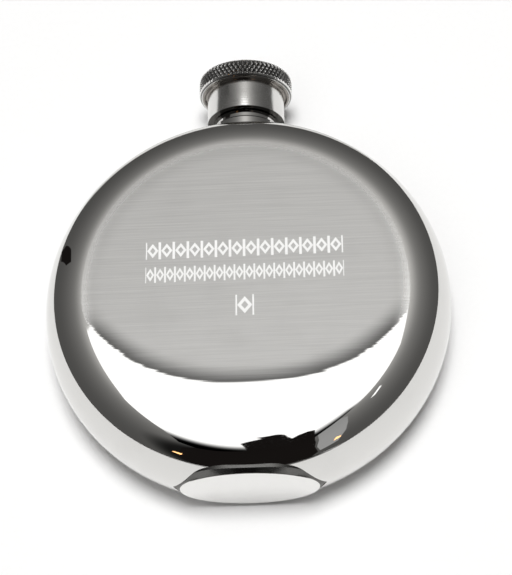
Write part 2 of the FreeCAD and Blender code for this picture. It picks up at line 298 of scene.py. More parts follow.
@dataclass(frozen=True)
class FaceSteel(Finish):
    """The front face: a brushed field with an etched frieze, mirror polish round it, and painted shade at the
    field's edges and on the polish beside it.

    Attributes:
        tint: reflected colour of the polished metal.
        field_radius: edge of the brushed field.
        low_reach: from the field's centre to its edge towards the foot.
        low_width: from the same centre to where that edge would end sideways.
        low_centre: that centre, x and y.
        low_bend: 2 for an ellipse, more for squarer corners.
        fray: how far single strokes of the brushing reach past its edges.
    """

    tint: tuple[float, float, float] = (0.70, 0.695, 0.68)
    field_radius: float = 38.4 * MM
    low_reach: float = 45.5 * MM
    low_width: float = 44.0 * MM
    low_centre: tuple[float, float] = (0.5 * MM, 20.8 * MM)
    low_bend: float = 2.34
    fray: float = 1.6 * MM

    def frieze(self, x: Shade, y: Shade) -> Shade:
        """Return the etched ornament: two rows of lozenges and one lozenge below.

        Args:
            x: place across the face, in metres.
            y: place towards the neck.

        Returns:
            The mask.
        """
        right, up = x / MM, y / MM
        row_one = self.lozenges(right, up, middle=9.35, half_height=2.25, pitch=3.26, half_width=22.85)
        row_two = self.lozenges(right, up, middle=3.15, half_height=2.05, pitch=2.29, half_width=22.90)
        motif = self.lozenges(right, up, middle=-5.25, half_height=2.65, pitch=4.30, half_width=2.15)
        return row_one.highest(row_two).highest(motif)

    def lozenges(self, x: Shade, y: Shade, middle: float, half_height: float, pitch: float,
                 half_width: float) -> Shade:
        """Return a row of hollow lozenges with a bar between each two. Lengths are in millimetres.

        Args:
            x: place along the row.
            y: place across it.
            middle: where the row's middle lies on y.
            half_height: half of the lozenge's height.
            pitch: from one lozenge to the next.
            half_width: half of the row's length.

        Returns:
            The mask.
        """
        across = abs((x + (half_width - pitch / 2)).wave(pitch)) / (pitch / 2)
        along = abs(y - middle) / half_height
        reach = across + along
        rim = reach.rise(0.84, 0.78) * reach.rise(0.34, 0.42)
        bar = across.rise(0.78, 0.84) * along.rise(1.0, 0.96)
        inside = abs(x).rise(half_width, half_width - 0.06)
        return rim.highest(bar) * inside

    def paint(self, graph: Graph) -> Shade:
        """Return brushed, etched and polished steel."""
        place = graph.place()
        x, y, _ = graph.axes(place)
        radius = (x * x + y * y).power(0.5)
        aside = abs(x - self.low_centre[0]) / self.low_width
        down = abs(y - self.low_centre[1]) / self.low_reach
        low = (aside.power(self.low_bend) + down.power(self.low_bend)).power(1.0 / self.low_bend)
        stroke = graph.noise(place, (45.0, 2600.0, 45.0), 3.0, 0.6)
        coarse = graph.noise(place, (30.0, 1500.0, 30.0), 2.0, 0.6)
        fray = (coarse - 0.5) * self.fray
        field = (radius + fray * 0.5).rise(self.field_radius + 0.8 * MM, self.field_radius - 3.6 * MM)
        low_edge = low * self.low_reach + fray
        field = field * low_edge.rise(self.low_reach, self.low_reach - 0.6 * MM)
        # painted shade: the brushed field's colour is darkened towards the foot and towards its rim, most
        # towards the neck, standing in for the darker reflection there
        foot_side_shade = low_edge.rise(self.low_reach - 5.2 * MM, self.low_reach) * y.rise(-2.0 * MM, -13.0 * MM)
        top = radius.rise(32.0 * MM, self.field_radius) * 0.22
        painted_field_shade = (1.0 - foot_side_shade * 0.78) * (1.0 - top * (y.rise(-5.0 * MM, 30.0 * MM) * 0.6 + 0.4))
        etched = self.frieze(x, y) * (0.86 + graph.noise(place, 1500.0, 2.0) * 0.28)
        # the brushing's grain, times the painted shade
        brushed = (0.87 + (stroke - 0.5) * 0.34 + (coarse - 0.5) * 0.10) * painted_field_shade
        # painted shade: the polished steel's colour is darkened a little in a band beside the brushing,
        # dimming its bright reflection there
        level = (1.0 - field) * (1.0 - radius.rise(self.field_radius + 4.0 * MM, self.field_radius) * 0.16)
        level = level + field * brushed
        steel = graph.grey(level, self.tint)
        colour = graph.blend(etched * field, steel, (0.93, 0.93, 0.92, 1.0))
        smears = graph.noise(place, 90.0, 4.0).rise(0.5, 0.75)
        rough = 0.02 + smears * 0.03 + field * (0.29 + stroke * 0.12) + etched * field * 0.3
        relief = (stroke - 0.5) * field - etched * field * 0.5
        return principled(graph, {
            "Base Color": colour,
            "Metallic": 1.0 - etched * field * 0.75 - field * 0.18,
            "Roughness": rough,
            "Normal": graph.bump(relief, 0.000012),
        })


@dataclass(frozen=True)
class TurnedSteel(Finish):
    """Steel turned or brushed round the neck's axis, with fine rings.

    Attributes:
        tint: reflected colour.
        gloss: roughness.
        rings: rings in a metre along the axis.
        depth: height of the rings.
    """

    tint: tuple[float, float, float] = (0.66, 0.655, 0.64)
    gloss: float = 0.30
    rings: float = 3500.0
    depth: float = 0.000006

    def paint(self, graph: Graph) -> Shade:
        """Return turned steel."""
        place = graph.place()
        out, along = graph.round_neck(place)
        lines = graph.noise(graph.vector(out, along, 0.0), (self.rings, self.rings, 1.0), 3.0, 0.6)
        cloud = graph.noise(place, 260.0, 3.0)
        level = 1.0 - (lines - 0.5) * 0.30 - cloud.rise(0.55, 0.8) * 0.10
        return principled(graph, {
            "Base Color": graph.grey(level, self.tint),
            "Metallic": 1.0,
            "Roughness": self.gloss + (lines - 0.5) * 0.16 + cloud * 0.06,
            "Normal": graph.bump(lines, self.depth),
        })


@dataclass(frozen=True)
class KnurledSteel(Finish):
    """Knurled steel, bright on the crests, with rougher valleys whose colour is darkened as painted shade.

    Attributes:
        tint: reflected colour of the crests.
        crest: radius of the crests.
        depth: depth of the valleys.
    """

    tint: tuple[float, float, float] = (0.86, 0.855, 0.84)
    crest: float = 11.46 * MM
    depth: float = 0.42 * MM

    def paint(self, graph: Graph) -> Shade:
        """Return knurled steel."""
        place = graph.place()
        out, _ = graph.round_neck(place)
        valley = out.rise(self.crest - 0.08 * MM, self.crest - self.depth)
        grain = graph.noise(place, 1800.0, 3.0)
        # painted shade: the valleys' colour is darkened
        level = 1.0 - valley * 0.88 - (grain - 0.5) * 0.12
        return principled(graph, {
            "Base Color": graph.grey(level, self.tint),
            "Metallic": 1.0,
            "Roughness": 0.06 + valley * 0.30 + grain * 0.06,
            "Normal": graph.bump(grain, 0.000008),
        })


@dataclass(frozen=True)
class Silicone(Finish):
    """Soft milky silicone with a dusty bloom."""

    def paint(self, graph: Graph) -> Shade:
        """Return silicone."""
        place = graph.place()
        bloom = graph.noise(place, 700.0, 4.0)
        colour = graph.blend(bloom.rise(0.35, 0.7), (0.78, 0.78, 0.75, 1.0), (0.88, 0.88, 0.86, 1.0))
        return principled(graph, {
            "Base Color": colour,
            "Roughness": 0.42 + bloom * 0.2,
            "Subsurface Weight": 0.2,
            "Subsurface Scale": 0.001,
            "Normal": graph.bump(bloom, 0.00001),
        })


@dataclass(frozen=True)
class Paper(Finish):
    """Matt white background paper."""

    def paint(self, graph: Graph) -> Shade:
        """Return paper."""
        fibre = graph.noise(graph.place(), 900.0, 3.0)
        colour = graph.blend(fibre, (0.90, 0.90, 0.90, 1.0), (0.93, 0.93, 0.93, 1.0))
        return principled(graph, {
            "Base Color": colour,
            "Roughness": 0.9,
            "Specular IOR Level": 0.1,
        })


@dataclass(frozen=True)
class Glow(Finish):
    """A reflector or a flag.

    Attributes:
        colour: its colour.
        strength: its brightness.
        distance: how far away it hangs, for a card that fades out at two sides, or 0.
    """

    colour: tuple[float, float, float] = (1.0, 1.0, 1.0)
    strength: float = 1.0
    distance: float = 0.0

    def paint(self, graph: Graph) -> Shade:
        """Return light."""
        colour: Value = (*self.colour, 1.0)
        if self.distance:
            x, y, _ = graph.axes(graph.place())
            degree = math.radians(1.0) * self.distance
            right, away = x / degree, y / degree
            near = (away + right * 0.48).rise(-12.5, 1.0)
            aside = (right - away * 0.1).rise(9.5, 4.0).highest(away.rise(7.0, 12.0))
            colour = graph.grey(near * near * aside, self.colour)
        return graph.node("ShaderNodeEmission", {}, {"Color": colour, "Strength": self.strength})


POLISHED = PolishedSteel("polished_steel_finish")
FACE = FaceSteel("brushed_face_finish")
COLLAR = PolishedSteel("collar_finish", gloss=0.05, smear=0.05)
# painted shade: the foot's flared wall is the same steel tinted near black
SHADED_FOOT_WALL = TurnedSteel("foot_wall_painted_shade", tint=(0.14, 0.138, 0.133), gloss=0.24, rings=900.0)
FOOT_FACE = PolishedSteel("foot_face_finish", tint=(0.80, 0.795, 0.78), gloss=0.10, smear=0.08)
SLEEVE = TurnedSteel("sleeve_finish", tint=(0.72, 0.715, 0.70), gloss=0.15, depth=0.000010)
# painted shade: the cap's flange is polished steel tinted dark
SHADED_FLANGE = PolishedSteel("flange_painted_shade", tint=(0.30, 0.28, 0.26), gloss=0.10, smear=0.08)
# painted shade: the sleeve's end face is polished steel tinted almost black
SHADED_SLEEVE_END = PolishedSteel("sleeve_end_painted_shade", tint=(0.10, 0.097, 0.092), gloss=0.12, smear=0.08)
SPOUT = TurnedSteel("spout_finish", tint=(0.64, 0.635, 0.62), gloss=0.24, rings=1500.0)
CAP_TOP = TurnedSteel("cap_top_finish", tint=(0.72, 0.715, 0.70), gloss=0.18, rings=5200.0, depth=0.000004)
KNURL = KnurledSteel("knurl_finish")
SEAL = Silicone("silicone_finish")


# ---- meshes
class Outline:
    """A section drawn point by point, with arcs."""

    def __init__(self, start: Point) -> None:
        """Start at a point."""
        self.points: list[Point] = [start]

    def to(self, *points: Point) -> "Outline":
        """Go straight to each point."""
        self.points.extend(points)
        return self

    def arc(self, centre: Point, end: Point, steps: int) -> "Outline":
        """Go round centre to end, the short way, spacing the radius evenly if it changes.

        Args:
            centre: the arc's centre.
            end: where it ends.
            steps: pieces that it is divided into.

        Returns:
            This outline.
        """
        begin = self.points[-1]
        first = math.atan2(begin[1] - centre[1], begin[0] - centre[0])
        last = math.atan2(end[1] - centre[1], end[0] - centre[0])
        turn = (last - first + math.pi) % (2 * math.pi) - math.pi
        near = math.dist(begin, centre)
        far = math.dist(end, centre)
        for step in range(1, steps + 1):
            share = step / steps
            radius = near + (far - near) * share
            angle = first + turn * share
            self.points.append((centre[0] + radius * math.cos(angle), centre[1] + radius * math.sin(angle)))
        return self


class Axis(Enum):
    """The line that a section is turned about."""

    UP = "z"
    NECK = "y"

    def points(self, radius: np.ndarray, height: np.ndarray, angle: np.ndarray) -> np.ndarray:
        """Place points round the axis.

        Args:
            radius: each point's distance from the axis.
            height: its place along the axis.
            angle: its angle round the axis.

        Returns:
            The points.
        """
        if self is Axis.UP:
            return np.stack([radius * np.cos(angle), radius * np.sin(angle), MIDDLE + height], axis=-1)
        # a positive angle turns right-handed about +Y
        return np.stack([radius * np.cos(angle), height, MIDDLE - radius * np.sin(angle)], axis=-1)


def grid_mesh(name: str, points: np.ndarray, closed_rows: bool) -> bpy.types.Mesh:
    """Make a mesh from a grid whose columns run round and close.

    Args:
        name: the mesh's name.
        points: rows by columns by three.
        closed_rows: whether the last row joins the first.

    Returns:
        The mesh, with coinciding points merged and normals outward.
    """
    rows, columns, _ = points.shape
    faces = []
    for row in range(rows if closed_rows else rows - 1):
        above = (row + 1) % rows
        for column in range(columns):
            beside = (column + 1) % columns
            faces.append((row * columns + column, row * columns + beside,
                          above * columns + beside, above * columns + column))
    mesh = bpy.data.meshes.new(name)
    mesh.from_pydata(points.reshape(-1, 3).tolist(), [], faces)
    work = bmesh.new()
    work.from_mesh(mesh)
    bmesh.ops.remove_doubles(work, verts=work.verts, dist=1e-7)
    bmesh.ops.recalc_face_normals(work, faces=work.faces)
    work.to_mesh(mesh)
    work.free()
    return mesh


def turned(name: str, section: Outline, axis: Axis, columns: int = 256,
           shape: Callable[[np.ndarray, np.ndarray, np.ndarray], np.ndarray] | None = None) -> bpy.types.Mesh:
    """Turn a closed section about an axis.

    Args:
        name: the mesh's name.
        section: radius and height of each point.
        axis: what it turns about.
        columns: steps round the axis.
        shape: changes the radius from radius, height and angle, as for a thread or a knurl.

    Returns:
        The mesh.
    """
    outline = np.array(section.points)
    angle = np.linspace(0.0, 2 * math.pi, columns, endpoint=False)[None, :]
    radius = np.repeat(outline[:, :1], columns, axis=1)
    height = np.repeat(outline[:, 1:], columns, axis=1)
    angle = np.repeat(angle, len(outline), axis=0)
    if shape:
        radius = shape(radius, height, angle)
    return grid_mesh(name, axis.points(radius, height, angle), closed_rows=True)


def piece(mesh: bpy.types.Mesh, body: Body, nodes: Sequence[str],
          finishes: Sequence[Finish], smooth_below: float = 30.0) -> bpy.types.Object:
    """Put a mesh in the scene as a piece of the object.

    Args:
        mesh: its mesh, whose name the piece takes.
        body: the body that it rides on.
        nodes: the CAD nodes that it stands for.
        finishes: its materials, in slot order.
        smooth_below: edges that turn more than this many degrees stay sharp.

    Returns:
        The piece.
    """
    thing = bpy.data.objects.new(mesh.name, mesh)
    bpy.context.scene.collection.objects.link(thing)
    mesh.materials.clear()
    for finish in finishes:
        mesh.materials.append(finish.material())
    mesh.shade_smooth()
    mesh.set_sharp_from_angle(angle=math.radians(smooth_below))
    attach(thing, body.value)
    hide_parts(*nodes)
    LOG.info("%s: %d faces on %s", thing.name, len(mesh.polygons), body.value)
    return thing


def carve(mesh: bpy.types.Mesh, cutter: bpy.types.Mesh) -> bpy.types.Mesh:
    """Cut one mesh with another.

    Args:
        mesh: what is cut. It is used up.
        cutter: a closed mesh, whose inside is taken away. It is used up too.

    Returns:
        The rest of the mesh, under the same name.
    """
    subject = bpy.data.objects.new("subject", mesh)
    knife = bpy.data.objects.new("knife", cutter)
    for thing in (subject, knife):
        bpy.context.scene.collection.objects.link(thing)
    cut = subject.modifiers.new("cut", "BOOLEAN")
    cut.operation = "DIFFERENCE"
    cut.solver = "EXACT"
    cut.object = knife
    depsgraph = bpy.context.evaluated_depsgraph_get()
    result = bpy.data.meshes.new_from_object(subject.evaluated_get(depsgraph))
    name = mesh.name
    for thing in (subject, knife):
        bpy.data.objects.remove(thing)
    bpy.data.meshes.remove(mesh)
    bpy.data.meshes.remove(cutter)
    result.name = name
    return result


def true_normals(mesh: bpy.types.Mesh, normal_at: Callable[[Vector], Vector | None]) -> None:
    """Set the exact normal wherever normal_at gives one that nearly agrees with the face's own.

    Args:
        mesh: the mesh, whose other corners keep their own normals.
        normal_at: the surface's normal at a point, or None off the surface.
    """
    agree = math.cos(math.radians(20.0))
    own = [corner.vector.copy() for corner in mesh.corner_normals]
    for face in mesh.polygons:
        for loop in face.loop_indices:
            exact = normal_at(mesh.vertices[mesh.loops[loop].vertex_index].co)
            if exact is not None and exact.dot(face.normal) > agree:
                own[loop] = exact
    mesh.normals_split_custom_set(own)


# ---- the round body
@dataclass
class Foot:
    """The oval foot: a flat standing face on a flared wall.

    Attributes:
        plane: y of the standing face.
        width: half of the face's long way.
        height: half of its short way.
        root_width: half of the flare's long way.
        root_height: half of its short way.
        shoulder: y where the flare ends.
        inner: y where the wall ends inside the flask.
        wall: thickness of the sheet.
        edge: rounding of the standing face's rim.
        corner: how square the flare's corners are.
        columns: points round each ring.
        knife_span: y from end to end of the prism that makes room for the foot.
    """

    plane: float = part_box("foot_plate")[0][1]
    width: float = 15.8 * MM
    height: float = 9.9 * MM
    root_width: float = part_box("foot_plate")[1][0]
    root_height: float = (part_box("foot_plate")[1][2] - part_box("foot_plate")[0][2]) / 2
    shoulder: float = -44.1 * MM
    inner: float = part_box("foot_plate")[1][1]
    wall: float = 0.6 * MM
    edge: float = 0.3 * MM
    corner: float = 7.0
    columns: int = 240
    knife_span: tuple[float, float] = (-30.0 * MM, -60.0 * MM)

    def face_ring(self, inset: float, y: float) -> np.ndarray:
        """Return the standing face's ellipse.

        Args:
            inset: how far it is drawn in.
            y: where it lies.

        Returns:
            Its points.
        """
        angle = np.linspace(0.0, 2 * math.pi, self.columns, endpoint=False)
        return np.stack([(self.width - inset) * np.cos(angle), np.full(self.columns, y),
                         MIDDLE + (self.height - inset) * np.sin(angle)], axis=-1)

    def root_ring(self, inset: float, y: float) -> np.ndarray:
        """Return the root's outline: flat above and below, drawn to a point at each end.

        Args:
            inset: how far it is drawn in.
            y: where it lies.

        Returns:
            Its points.
        """
        angle = np.linspace(0.0, 2 * math.pi, self.columns, endpoint=False)
        across = np.cos(angle) * self.width
        up = np.sin(angle) * self.height
        wide = self.root_width - inset
        tall = self.root_height - inset
        slant = np.abs(across) / wide + np.abs(up) / (2.6 * tall)
        flat = np.abs(up) / tall
        reach = (slant ** self.corner + flat ** self.corner) ** (1.0 / self.corner)
        return np.stack([across / reach, np.full(self.columns, y), MIDDLE + up / reach], axis=-1)

    def knife(self) -> bpy.types.Mesh:
        """Return the prism that the body is cut with to seat the foot."""
        return self.capped("foot_knife", [self.root_ring(0.02 * MM, y) for y in self.knife_span])

    def capped(self, name: str, rings: list[np.ndarray]) -> bpy.types.Mesh:
        """Return a mesh of rings, closed by a fan at both ends."""
        ends = [np.broadcast_to(ring.mean(axis=0), ring.shape) for ring in (rings[0], rings[-1])]
        return grid_mesh(name, np.array([ends[0], *rings, ends[1]]), closed_rows=False)

    def build(self) -> bpy.types.Object:
        """Make the foot."""
        # standing face out to its rounded rim
        rings = [self.face_ring(self.height * (1 - share) * 0.98 + self.edge, self.plane)
                 for share in (0.35, 0.7, 0.92)]
        for step in range(7):
            turn = math.radians(step * 12)
            rings.append(self.face_ring(self.edge * (1 - math.sin(turn)),
                                        self.plane + self.edge * (1 - math.cos(turn))))
        # flared wall, then back along its inside
        start, finish = rings[-1], self.root_ring(0.0, self.shoulder)
        rings += [start + (finish - start) * share for share in (0.2, 0.4, 0.6, 0.8, 1.0)]
        rings += [self.root_ring(0.0, self.inner), self.root_ring(self.wall, self.inner),
                  self.root_ring(self.wall, self.shoulder),
                  self.face_ring(self.wall * 1.5, self.plane + self.wall)]
        mesh = self.capped("foot", rings)
        # the flared wall takes the steel tinted near black as painted shade
        thing = piece(mesh, Body.FLASK, ["foot_plate"], [FOOT_FACE, SHADED_FOOT_WALL], 25.0)
        for face in mesh.polygons:
            face.material_index = 0 if face.center[1] < self.plane + self.edge else 1
        return thing


@dataclass
class Canteen:
    """The round body: two pressed discs on a bulged hoop.

    Attributes:
        radius: widest radius of the hoop.
        half_depth: middle plane to front face.
        face_radius: flat part of the face.
        seam_height: middle plane to the seam.
        bulge: section radius of the hoop.
        wall: thickness of the sheet.
        seam_round: rounding of both edges at the seam.
        columns: steps round the body.
        neck_hole: radius of the hoop's hole for the neck.
        neck_span: y from end to end of the cylinder that cuts the hole.
        skin_slack: how far from the skin a point may lie and still count as on it.
    """

    radius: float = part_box("side_band")[1][0]
    half_depth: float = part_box("front_shell")[1][2] - MIDDLE
    face_radius: float = 37.5 * MM
    seam_height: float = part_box("side_band")[1][2] - MIDDLE
    bulge: float = 16.9 * MM
    wall: float = 0.6 * MM
    seam_round: float = 0.12 * MM
    columns: int = 480
    neck_hole: float = 5.9 * MM
    neck_span: tuple[float, float] = (40.0 * MM, 55.0 * MM)
    skin_slack: float = 0.004 * MM

    def seam_radius(self, deeper: float = 0.0) -> float:
        """Return the hoop's radius at the seam, deeper below its outer skin."""
        bulge = self.bulge - deeper
        return self.radius - self.bulge + math.sqrt(bulge ** 2 - self.seam_height ** 2)

    def shoulder(self) -> tuple[float, float]:
        """Return the shoulder arc's radius and the height of its centre."""
        run = self.seam_radius() - self.face_radius
        fall = self.half_depth - self.seam_height
        radius = (run ** 2 + fall ** 2) / (2 * fall)
        return radius, self.half_depth - radius

    def disc_section(self, up: int) -> Outline:
        """Return a disc's section.

        Args:
            up: 1 for the front disc, -1 for the back one.

        Returns:
            The section, from the middle out to the seam and back.
        """
        arc_radius, centre_height = self.shoulder()
        centre = (self.face_radius, centre_height * up)
        seam = self.seam_radius()
        inner_radius = arc_radius - self.wall
        dip = self.seam_height - centre_height
        inner_seam = self.face_radius + math.sqrt(inner_radius ** 2 - dip ** 2)
        soft = self.seam_round
        drop = soft * 0.6
        section = Outline((0.0, self.half_depth * up))
        for share in (0.25, 0.5, 0.75, 0.9):
            section.to((self.face_radius * share, self.half_depth * up))
        section.to((self.face_radius, self.half_depth * up))
        edge_angle = math.acos((self.seam_height + drop - centre_height) / arc_radius)
        edge = (self.face_radius + arc_radius * math.sin(edge_angle), (self.seam_height + drop) * up)
        section.arc(centre, edge, 40)
        section.to((seam - soft * 0.25, (self.seam_height + drop * 0.45) * up),
                   (seam - soft, self.seam_height * up))
        section.to((inner_seam, self.seam_height * up))
        section.arc(centre, (self.face_radius, (self.half_depth - self.wall) * up), 24)
        section.to((0.0, (self.half_depth - self.wall) * up))
        return section

    def hoop_section(self) -> Outline:
        """Return the hoop's section."""
        centre = (self.radius - self.bulge, 0.0)
        seam = self.seam_radius()
        inner = self.seam_radius(self.wall)
        soft = self.seam_round
        low = (seam - soft, -self.seam_height)
        section = Outline(low)
        rim_height = self.seam_height - soft * 0.6
        rim = self.radius - self.bulge + math.sqrt(self.bulge ** 2 - rim_height ** 2)
        section.to((seam + soft * 0.05, -(self.seam_height - soft * 0.2)), (rim, -rim_height))
        section.arc(centre, (rim, rim_height), 72)
        section.to((seam + soft * 0.05, self.seam_height - soft * 0.2), (low[0], self.seam_height))
        section.to((inner, self.seam_height))
        section.arc(centre, (inner, -self.seam_height), 36)
        return section

    def skin_normal(self, co: Vector) -> Vector | None:
        """Return the outer skin's normal.

        Args:
            co: a point of a mesh.

        Returns:
            The normal, or None away from the skin.
        """
        height = co.z - MIDDLE
        side = 1.0 if height > 0 else -1.0
        out = math.hypot(co.x, co.y)
        if out < 1e-6:
            return Vector((0.0, 0.0, side))
        on_disc = abs(height) >= self.seam_height
        if on_disc and out <= self.face_radius:
            flat = abs(abs(height) - self.half_depth) < self.skin_slack
            return Vector((0.0, 0.0, side)) if flat else None
        centre_out, centre_up, radius = self.radius - self.bulge, 0.0, self.bulge
        if on_disc:
            radius, centre_height = self.shoulder()
            centre_out, centre_up = self.face_radius, centre_height * side
        along, up = out - centre_out, height - centre_up
        if abs(math.hypot(along, up) - radius) > self.skin_slack:
            return None
        return Vector((co.x / out * along, co.y / out * along, up)).normalized()

    def neck_knife(self) -> bpy.types.Mesh:
        """Return the cylinder that the neck's hole is cut with."""
        low, high = self.neck_span
        section = Outline((0.0, low)).to((self.neck_hole, low), (self.neck_hole, high), (0.0, high))
        return turned("neck_knife", section, Axis.NECK, 96)

    def build(self, foot: Foot) -> list[bpy.types.Object]:
        """Make both discs and the hoop.

        Args:
            foot: the foot that they are cut for.

        Returns:
            The three pieces.
        """
        made = []
        for name, node, up, finish in (("front_disc", "front_shell", 1, FACE),
                                       ("back_disc", "back_shell", -1, POLISHED)):
            mesh = turned(name, self.disc_section(up), Axis.UP, self.columns)
            mesh = carve(mesh, foot.knife())
            made.append(piece(mesh, Body.FLASK, [node], [finish], 18.0))
            true_normals(mesh, self.skin_normal)
        hoop = turned("hoop", self.hoop_section(), Axis.UP, self.columns)
        hoop = carve(carve(hoop, foot.knife()), self.neck_knife())
        made.append(piece(hoop, Body.FLASK, ["side_band"], [POLISHED], 18.0))
        true_normals(hoop, self.skin_normal)
        return made


# ---- the neck
@dataclass
class Thread:
    """A screw thread's shape.

    Attributes:
        pitch: rise in one turn.
        start: height of a ridge's middle at angle 0.
        crest: half width of the ridge at its crest.
        base: half width of the ridge at its base.
    """

    pitch: float = 2.4 * MM
    start: float = 51.15 * MM
    crest: float = 0.25 * MM
    base: float = 0.55 * MM

    def ridge(self, height: np.ndarray, angle: np.ndarray, wider: float = 0.0) -> np.ndarray:
        """Return the ridge's shape.

        Args:
            height: places along the axis.
            angle: angles round the axis.
            wider: added to both half widths, as play in the cap's groove.

        Returns:
            1 on the crest and 0 between ridges.
        """
        phase = (height - self.start) / self.pitch - angle / (2 * math.pi)
        away = np.abs((phase + 0.5) % 1.0 - 0.5) * self.pitch
        crest, base = self.crest + wider, self.base + wider
        return np.clip((base - away) / (base - crest), 0.0, 1.0)


@dataclass
class Neck:
    """The collar and the threaded spout.

    Attributes:
        collar_radius: widest radius of the collar.
        collar_foot: radius of its flange on the hoop.
        collar_sunk: y of its lower end, inside the hoop.
        flange_top: y where the flange ends.
        waist: y where the collar is straight again.
        collar_top: top of the collar.
        collar_round: rounding of its top.
        bore: radius of the pouring bore.
        tube: outer radius of the spout.
        depth: depth of its thread.
        lip: rounding of its mouth.
        thread_low: y where the thread starts.
        thread_high: y where it runs out.
        runout: length over which it rises and runs out.
    """

    collar_radius: float = 8.0 * MM
    collar_foot: float = 8.5 * MM
    collar_sunk: float = 44.2 * MM
    flange_top: float = 46.7 * MM
    waist: float = 47.3 * MM
    collar_top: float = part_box("neck_collar")[1][1]
    collar_round: float = 0.3 * MM
    bore: float = 4.8 * MM
    tube: float = 6.0 * MM
    depth: float = 0.5 * MM
    lip: float = 0.25 * MM
    thread_low: float = 50.6 * MM
    thread_high: float = 58.6 * MM
    runout: float = 0.3 * MM

    def build_collar(self) -> bpy.types.Object:
        """Make the collar, sunk into the hoop."""
        radius, soft, top = self.collar_radius, self.collar_round, self.collar_top
        section = Outline((self.tube, self.collar_sunk))
        section.to((self.collar_foot, self.collar_sunk), (self.collar_foot, self.flange_top))
        section.arc((self.collar_foot + 0.15 * MM, self.waist), (radius, self.waist), 8)
        section.to((radius, top - soft))
        section.arc((radius - soft, top - soft), (radius - soft, top), 8)
        section.to((self.tube + 0.1 * MM, top), (self.tube, top - 0.1 * MM))
        mesh = turned("neck_collar_ring", section, Axis.NECK, 256)
        return piece(mesh, Body.FLASK, ["neck_collar"], [COLLAR], 28.0)

    def build_spout(self, thread: Thread) -> bpy.types.Object:
        """Make the spout.

        Args:
            thread: the thread on it.

        Returns:
            The piece.
        """
        low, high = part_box("neck_spout")[0][1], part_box("neck_spout")[1][1]
        core, lip = self.tube - self.depth, self.lip
        section = Outline((self.bore, low)).to((self.tube, low), (self.tube, self.collar_top))
        section.to((core, self.collar_top + self.depth))
        for height in np.arange(self.thread_low - 0.4 * MM, self.thread_high + 0.2 * MM, 0.08 * MM):
            section.to((core, float(height)))
        section.to((core, high - lip))
        section.arc((core - lip, high - lip), (core - lip, high), 6)
        section.arc((core - lip, high - lip), (self.bore, high - lip), 6)

        def shape(radius: np.ndarray, height: np.ndarray, angle: np.ndarray) -> np.ndarray:
            """Return the radius with the ridge raised on the core."""
            ends = np.clip((height - self.thread_low) / self.runout, 0, 1)
            ends = ends * np.clip((self.thread_high - height) / self.runout, 0, 1)
            on_core = np.isclose(radius, core, atol=1e-6)
            return radius + np.where(on_core, self.depth * thread.ridge(height, angle) * ends, 0.0)

        mesh = turned("threaded_spout", section, Axis.NECK, 160, shape)
        return piece(mesh, Body.FLASK, ["neck_spout"], [SPOUT], 35.0)


